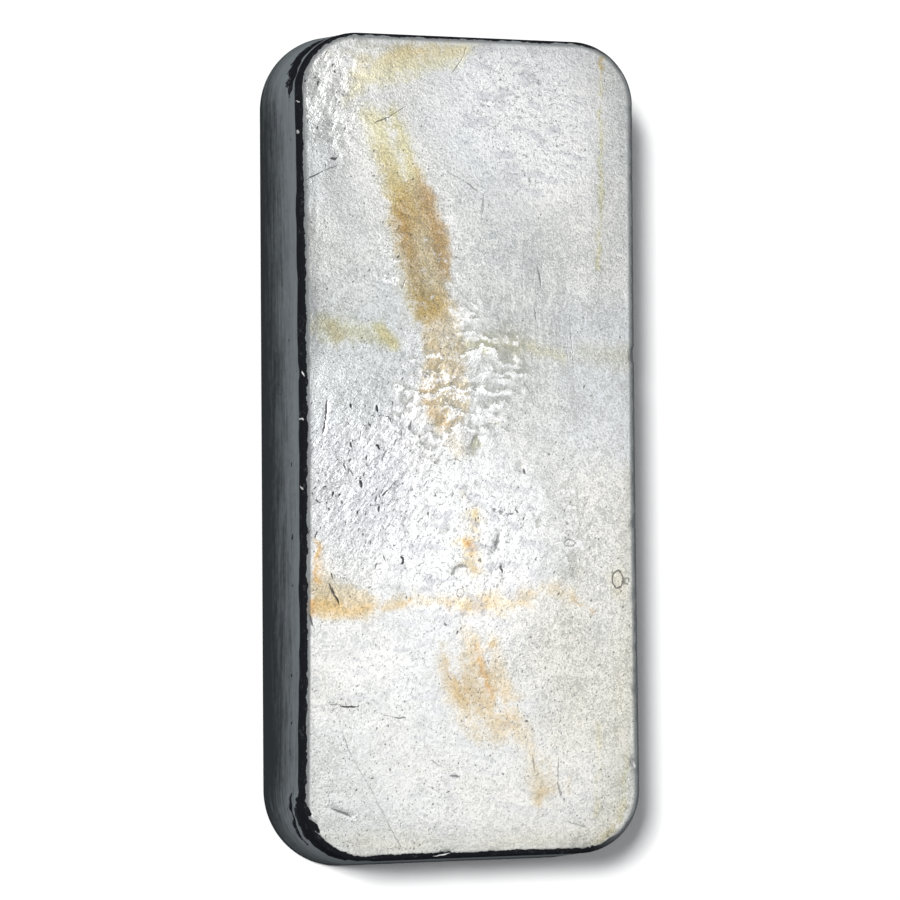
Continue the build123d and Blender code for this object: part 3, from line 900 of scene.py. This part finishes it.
def newMask(name, **sizes):
    # a shader group that makes a mask of a place and some sizes
    inputs = [("Place", "NodeSocketVector", None)]
    inputs += [(size, "NodeSocketFloat", value) for size, value in sizes.items()]
    return newGroup(name, "ShaderNodeTree", inputs, [("Mask", "NodeSocketFloat", None)])


def addCells(tree, given):
    # cells of random shape, with three random numbers for each
    place, scale = given["Place"], addMath("DIVIDE", 1.0, given["Cell"])
    cell = addNode(tree, "ShaderNodeTexVoronoi", {"Vector": place, "Scale": scale}, voronoi_dimensions="2D")
    chance = addNode(tree, "ShaderNodeSeparateColor", {"Color": cell.outputs["Color"]})
    return cell.outputs, chance.outputs


def buildHairlines():
    # short straight scratches, one to a cell, each at its own angle
    tree, given, result = newMask("hairlines", Cell=3.0, Length=1.2, Width=0.06)
    cell, chance = addCells(tree, given)
    away = addVector("SUBTRACT", given["Place"], cell["Position"])
    angle = times(chance[0], math.pi)
    turned = addNode(tree, "ShaderNodeVectorRotate", {"Vector": away, "Angle": angle})
    along = axesOf(turned.outputs[0])
    wide = times(given["Width"], addMath("MULTIPLY_ADD", chance[1], 0.8, 0.4))
    thin = addStep(addMath("ABSOLUTE", along[1]), 0.0, wide, 1.0, 0.0)
    reach = addMath("DIVIDE", addMath("ABSOLUTE", along[0]), given["Length"])
    ends = addStep(reach, 0.5, 1.0, 1.0, 0.0)
    feed(result["Mask"], times(thin, times(ends, chance[2])))
    return tree


def buildPits():
    # round pits, in a share of the cells
    tree, given, result = newMask("pits", Cell=1.5, Radius=0.2, Share=0.3)
    cell, chance = addCells(tree, given)
    gap = times(cell["Distance"], given["Cell"])
    size = times(given["Radius"], addMath("MULTIPLY_ADD", chance[1], 0.9, 0.5))
    inside = addMath("SUBTRACT", 1.0, addMath("DIVIDE", gap, size), clamp=True)
    inside = addStep(inside, 0.0, 0.6)
    there = addMath("LESS_THAN", chance[0], given["Share"])
    feed(result["Mask"], times(inside, there))
    return tree


def buildWrinkleLines():
    # thin winding lines where a noise crosses its middle, broken into lengths
    tree, given, result = newMask("wrinkleLines", Size=2.0, Thinness=0.02, Share=0.5)
    place = addVector("SCALE", given["Place"], scale=addMath("DIVIDE", 1.0, given["Size"]))
    fromMiddle = addMath("SUBTRACT", addNoise(place, 1.0, 2.0, 0.6, 0.3), 0.5)
    line = addStep(addMath("ABSOLUTE", fromMiddle), 0.0, given["Thinness"], 1.0, 0.0)
    broken = addNoise(addVector("ADD", place, (7.3, 2.1, 5.5)), 0.9, 1.0)
    edge = addMath("SUBTRACT", 1.0, given["Share"])
    broken = addStep(broken, addMath("SUBTRACT", edge, 0.06), addMath("ADD", edge, 0.06))
    feed(result["Mask"], times(line, broken))
    return tree


hairlines, pits, wrinkleLines = buildHairlines(), buildPits(), buildWrinkleLines()

# the mould skin's patterns: wavelengths in mm
pattern = {
    "broad": 30.0,
    "drift": 9.0,
    "patchy": 6.0,
    "puddle": 3.4,
    "rough": 2.2,
    "mottle": 1.6,
    "strokes": 0.7,
    "grain": 0.36,
}
# how strongly each of its layers shows, from 0 to 1; cavity, border, edge, foot and shade are painted shade,
# front a painted highlight
amount = {
    "paintedSheen": 0.75,
    "puddle": 0.5,
    "cavity": 0.3,
    "border": 0.2,
    "edge": 0.85,
    "foot": 0.5,
    "front": 0.9,
    "longLines": 0.4,
    "shortLines": 0.45,
    "shade": 0.55,
    "comb": 0.75,
    "specks": 0.6,
    "blots": 0.75,
    "foldPitShadows": 0.9,
    "crumbs": 0.4,
    "metallic": 0.92,
    "roughness": 0.28,
}


def startMaterial(name):
    material = bpy.data.materials.new(name)
    material.use_nodes = True
    tree = material.node_tree
    place = addNode(tree, "ShaderNodeTexCoord").outputs["Object"]
    return material, tree, tree.nodes["Principled BSDF"], addVector("SCALE", place, scale=1 / mm)


def addBump(shader, height):
    bump = addNode(treeOf(height), "ShaderNodeBump", {"Height": times(height, mm), "Distance": 1.0})
    feed(shader.inputs["Normal"], bump.outputs[0])


def readValue(tree, name, output="Fac"):
    return addNode(tree, "ShaderNodeAttribute", attribute_name=name).outputs[output]


def markMask(tree, shake):
    # each listed mark is thinner towards its ends, with a shaken edge
    mark = axesOf(readValue(tree, "mark", "Vector"))
    along = addMath("ABSOLUTE", mark[0])
    gap = addMath("ABSOLUTE", addMath("ADD", mark[1], shake))
    wide = times(mark[2], addStep(along, 0.3, 1.0, 1.0, 0.3))
    thin = addStep(addMath("DIVIDE", gap, wide), 0.4, 1.2, 1.0, 0.0)
    return times(thin, addStep(along, 0.9, 1.08, 1.0, 0.0))


def buildMouldSkin():
    material, tree, shader, place = startMaterial("mouldSkin")
    away, cavity, slit, bite = (readValue(tree, name) for name in ("fromFace", "cavity", "slit", "bite"))
    hammered, crest, paintedSheen = (readValue(tree, name) for name in ("hammered", "crested", "paintedSheenZones"))
    pitShare, speckShare, comb = (readValue(tree, name) for name in ("pitted", "specked", "combed"))
    flat = addVector("MULTIPLY", place, (1, 1, 0))

    # the face's silver: broad cool and white patches, then a finer and finer mottle
    broad = addNoise(place, pattern["broad"], 2.0, 0.55)
    drift = addNoise(place, pattern["drift"], 2.0, 0.5)
    patchy = addNoise(place, pattern["patchy"], 3.0, 0.6)
    mottle = addNoise(place, pattern["mottle"], 3.0, 0.6)
    grain = addNoise(place, pattern["grain"], 1.5, 0.7)
    colour = addMix(addStep(broad, 0.38, 0.62), finish["coolSilver"], finish["whiteSilver"])
    greyness = sumOf((patchy, 1.0), (mottle, 1.0), (grain, 3.0), (paintedSheen, -0.4))
    colour = addMix(addStep(greyness, 2.15, 2.95), colour, finish["greySilver"])
    # painted sheen: these zones are lightened towards bright silver, a painted highlight
    colour = addMix(times(paintedSheen, amount["paintedSheen"]), colour, finish["brightSilverAndSheen"])
    hold = addStep(sumOf((patchy, 1.0), (mottle, 1.2), (grain, 1.2)), 1.2, 2.1, 0.7, 1.0)
    washed = addMix(1.0, colour, readValue(tree, "wash", "Color"), "MULTIPLY")
    colour = addMix(hold, colour, washed)
    ragged = sumOf((readValue(tree, "stainCover"), 1.3), (patchy, 2.2), (mottle, 1.7), (grain, 0.8))
    stained = addMix(1.0, colour, readValue(tree, "stain", "Color"), "MULTIPLY")
    colour = addMix(addStep(ragged, 2.45, 3.65), colour, stained)
    puddle = addNoise(addStretch(flat, (0.6, 1.3, 1), 12), pattern["puddle"], 1.5)
    puddle = times(addStep(puddle, 0.54, 0.62), times(paintedSheen, amount["puddle"]))
    colour = addMix(puddle, colour, finish["lilacGrey"])
    # painted shade in the relief's hollows, darker where the relief is cut deeper
    colour = addMix(addStep(cavity, 0.12, 0.34, 0.0, amount["cavity"]), colour, finish["linesAndShadeGrey"])

    # painted shade: the border is darkened grey, and darker still over the rounded edge
    colour = addMix(addStep(away, -3.0, 0.2, 0.0, amount["border"]), colour, finish["borderShadeGrey"])
    edge = addStep(away, -0.5, 0.35)
    colour = addMix(times(edge, amount["edge"]), colour, finish["edgeShadeGrey"])

    # flow fronts: each flow gets a painted highlight towards its front, painted olive-grey shade at its foot,
    # and a thin painted shade under it
    front = flowFronts(place)
    shown = addStep(sumOf((crest, 0.8), (patchy, 1.6), (mottle, 1.0)), 1.87, 2.12)
    foot = times(addStep(sumOf((front, 1.0), (grain, 1.4)), 0.8, 1.2, 1.0, 0.0), shown)
    colour = addMix(times(foot, amount["foot"]), colour, finish["footShadeGrey"])
    white = times(addStep(sumOf((front, 1.0), (grain, 1.3)), 1.2, 1.42), shown)
    colour = addMix(times(white, amount["front"]), colour, finish["brightSilverAndSheen"])
    shade = times(addStep(front, 0.0, 0.07, 1.0, 0.0), shown)

    # fine lines and specks
    longLines = useMask(hairlines, Place=flat, Cell=3.4, Length=1.7, Width=0.10)
    turned = addStretch(flat, (1, 1, 1), 40, (9, 4, 0))
    shortLines = useMask(hairlines, Place=turned, Cell=1.5, Length=0.7, Width=0.10)
    scribble = useMask(wrinkleLines, Place=place, Size=0.95, Thinness=0.05, Share=0.5)
    combed = addVector("MULTIPLY", place, (1, 0.12, 1))
    combLines = useMask(wrinkleLines, Place=combed, Size=1.0, Thinness=0.14, Share=0.6)
    curled = addMath("MULTIPLY_ADD", most(hammered, paintedSheen), 0.65, 0.2)
    lines = most(times(longLines, amount["longLines"]), times(shortLines, amount["shortLines"]))
    lines = most(lines, times(scribble, curled), times(shade, amount["shade"]))
    lines = most(lines, times(combLines, times(comb, amount["comb"])))
    colour = addMix(lines, colour, finish["linesAndShadeGrey"])

    shaken = addShake(flat, place, 1.6, 2.0, 0.8)
    thick = times(addStep(drift, 0.3, 0.62, 0.25, 1.0), addMath("ADD", speckShare, 0.18))
    slanted = addStretch(shaken, (1.0, 0.6, 0), 20)
    specks = useMask(pits, Place=slanted, Cell=0.62, Radius=0.13, Share=times(thick, 0.32))
    slanted = addStretch(shaken, (1.5, 0.7, 0), 35)
    blots = useMask(pits, Place=slanted, Cell=2.4, Radius=0.22, Share=times(thick, 0.26))
    # painted shadows in small pits among the folds
    slanted = addStretch(addShake(shaken, flat, 0.3, 1.0, 4.0), (2.4, 0.9, 0), 16)
    inFolds = times(pitShare, addStep(patchy, 0.4, 0.6, 0.04, 0.26))
    foldPitShadows = useMask(pits, Place=slanted, Cell=1.9, Radius=0.46, Share=inFolds)
    markThere = markMask(tree, sumOf((mottle, 0.8), (1.0, -0.4)))
    force = readValue(tree, "markStrength")
    marks = times(markThere, most(force, 0.0))
    dark = marks
    for layer, name in ((specks, "specks"), (blots, "blots"), (foldPitShadows, "foldPitShadows")):
        dark = most(dark, times(layer, amount[name]))
    colour = addMix(dark, colour, finish["darkMarksAndShadeBlack"])

    # dark walls, darker towards the poured side, with long streaks, and a black band round the face, grey on
    # the east: the walls' and the band's darkness is painted dark reflection and shade
    streaks = readValue(tree, "streaks", "Vector")
    streak = addNoise(streaks, 1.3, 4.0, 0.65, 0.4)
    axes = axesOf(place)
    corner = addStep(addMath("ABSOLUTE", axes[1]), 62.0, 84.0)
    down = sumOf((away, 0.05), (streak, 0.9), (mottle, 0.3), (corner, -0.45), (axes[1], -0.0015))
    wall = addMix(addStep(down, 0.7, 1.65), finish["wallReflectionLight"], finish["wallReflectionDark"])
    rough = addNoise(place, pattern["rough"], 3.0, 0.65)
    outer = sumOf((away, 1.0), (streak, 1.2), (drift, 1.4))
    east = addStep(axes[0], 24.0, 34.0)
    crumbs = addStep(sumOf((rough, 1.0), (grain, 0.8)), 1.0, 1.3, 0.0, amount["crumbs"])
    bandReflectionColour = addMix(most(east, crumbs), finish["bandReflectionBlack"], finish["bandReflectionGrey"])
    outside = addMix(addStep(outer, 5.2, 5.7, 1.0, 0.0), wall, bandReflectionColour)
    # the cold laps' slits take the band's painted dark colour
    slit = addStep(sumOf((slit, 1.0), (streak, 1.0), (rough, 2.0)), 1.85, 2.1)
    outside = addMix(slit, outside, bandReflectionColour)
    south = addStep(axes[1], -80.0, -74.0, 0.7, 0.0)
    inner = sumOf((away, 1.0), (rough, 1.5), (drift, 0.8), (south, 1.0))
    bitten = addStep(sumOf((bite, 1.0), (rough, 0.5)), 0.7, 0.8)
    offFace = most(addStep(inner, 1.72, 1.88), bitten)
    # off the face and in the bites, the painted dark wall and band colour
    colour = addMix(offFace, colour, outside)
    bright = times(markThere, times(force, -1.0), clamp=True)
    colour = addMix(bright, colour, finish["brightSilverAndSheen"])
    feed(shader.inputs["Base Color"], colour)

    feed(shader.inputs["Metallic"], addStep(most(offFace, edge), 0.0, 1.0, amount["metallic"], 0.0))
    shader.inputs["Specular IOR Level"].default_value = 0.0
    dull = sumOf((grain, 0.14), (mottle, 0.12), (offFace, 0.05), (dark, 0.2))
    feed(shader.inputs["Roughness"], addMath("ADD", dull, amount["roughness"]))

    strokes = addNoise(addStretch(flat, (1.0, 0.35, 1.0), 40), pattern["strokes"], 2.0, 0.6)
    fineBumps = times(mottle, addMath("MULTIPLY_ADD", hammered, 0.06, 0.05))
    strokes = times(strokes, most(hammered, pitShare))
    addBump(shader, sumOf((grain, 0.048), (marks, -0.04), (fineBumps, 1.0), (strokes, 0.12)))
    return material


def buildPouredSkin():
    material, tree, shader, place = startMaterial("pouredSkin")
    broad = addNoise(place, 22, 4.0, 0.6)
    fine = addNoise(place, 0.9, 3.0, 0.6)
    colour = addMix(addStep(broad, 0.35, 0.7), finish["underSilver"], finish["greySilver"])
    colour = addMix(addStep(fine, 0.4, 0.7, 0.0, 0.4), colour, finish["linesAndShadeGrey"])
    holes = useMask(pits, Place=place, Cell=3.0, Radius=0.35, Share=0.3)
    lines = useMask(hairlines, Place=place, Cell=5.0, Length=2.4, Width=0.09)
    colour = addMix(times(lines, 0.5), colour, finish["linesAndShadeGrey"])
    colour = addMix(times(holes, 0.7), colour, finish["darkMarksAndShadeBlack"])
    feed(shader.inputs["Base Color"], colour)
    shader.inputs["Metallic"].default_value = 0.9
    feed(shader.inputs["Roughness"], sumOf((broad, 0.2), (fine, 0.2), (1.0, 0.2)))
    addBump(shader, sumOf((fine, 0.08), (lines, -0.05), (holes, -0.12), (addNoise(place, 4, 2.0), 0.3)))
    return material


def castTheBar(mesh):
    castBar = bpy.data.objects.new("castBar", mesh)
    bpy.context.collection.objects.link(castBar)
    tree = buildRelief()
    modifier = castBar.modifiers.new("castRelief", "NODES")
    modifier.node_group = tree
    values = dict(relief, **{"Material": buildMouldSkin(), "Under Material": buildPouredSkin()})
    for socket in tree.interface.items_tree:
        if socket.in_out == "INPUT" and socket.name in values:
            modifier[socket.identifier] = values[socket.name]
    graph = bpy.context.evaluated_depsgraph_get()
    castBar.data = bpy.data.meshes.new_from_object(
        castBar.evaluated_get(graph), preserve_all_data_layers=True, depsgraph=graph)
    castBar.modifiers.clear()
    return castBar


castBar = castTheBar(barMesh)
print("relief cast,", len(castBar.data.polygons), "faces,", [m.name for m in castBar.data.materials])


# plain pale floor and soft light; places and sizes in metres, powers in watts
studio = {
    "floorSize": 8.0,
    "floorWhite": (0.98, 0.98, 0.98, 1),
    "floorRoughness": 0.9,
    "worldGrey": (0.165, 0.169, 0.176, 1),
    "lamps": {
        "keySoftbox": {"place": (-0.92, 0.47, 2.00), "size": 0.40, "power": 52.0},
        "faceSoftbox": {"place": (0.27, -0.06, 1.00), "size": 0.42, "power": 1.15},
    },
}


def buildStudio():
    half = studio["floorSize"] / 2
    mesh = bpy.data.meshes.new("floor")
    corners = [(-half, -half, 0), (half, -half, 0), (half, half, 0), (-half, half, 0)]
    mesh.from_pydata(corners, [], [(0, 1, 2, 3)])
    floor = bpy.data.objects.new("floor", mesh)
    bpy.context.collection.objects.link(floor)
    white = bpy.data.materials.new("paleFloor")
    white.use_nodes = True
    shader = white.node_tree.nodes["Principled BSDF"]
    shader.inputs["Base Color"].default_value = studio["floorWhite"]
    shader.inputs["Roughness"].default_value = studio["floorRoughness"]
    mesh.materials.append(white)
    world = bpy.data.worlds.new("studioWorld")
    world.use_nodes = True
    world.node_tree.nodes["Background"].inputs["Color"].default_value = studio["worldGrey"]
    bpy.context.scene.world = world
    for name, lamp in studio["lamps"].items():
        light = bpy.data.lights.new(name, "AREA")
        light.size = lamp["size"]
        light.energy = lamp["power"]
        holder = bpy.data.objects.new(name, light)
        holder.location = lamp["place"]
        holder.rotation_euler = Vector(lamp["place"]).to_track_quat("Z", "Y").to_euler()
        bpy.context.collection.objects.link(holder)


# the photograph's view: the camera was above the bar, a little to its left
view = {
    "lens": 106.34,
    "distance": 0.5558,
    "yaw": 14.84,
    "pitch": -2.23,
    "roll": 0.46,
    "aside": (-0.00207, 0.00008),
}


def buildCamera():
    camera = bpy.data.objects.new("photoCamera", bpy.data.cameras.new("photoCamera"))
    bpy.context.collection.objects.link(camera)
    camera.data.lens = view["lens"]
    camera.data.sensor_width = 36.0
    turned = Matrix.Identity(3)
    for axis, angle in (("Z", view["roll"]), ("X", view["pitch"]), ("Y", view["yaw"])):
        turned = turned @ Matrix.Rotation(math.radians(angle), 3, axis)
    back = turned.transposed()
    eye = back @ Vector((-view["aside"][0], -view["aside"][1], view["distance"]))
    camera.matrix_world = Matrix.Translation(eye) @ back.to_4x4()
    bpy.context.scene.camera = camera


buildStudio()
buildCamera()
bpy.context.scene.view_settings.view_transform = "Standard"
print("studio and camera set")

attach(castBar, "root")
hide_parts(bar["node"])
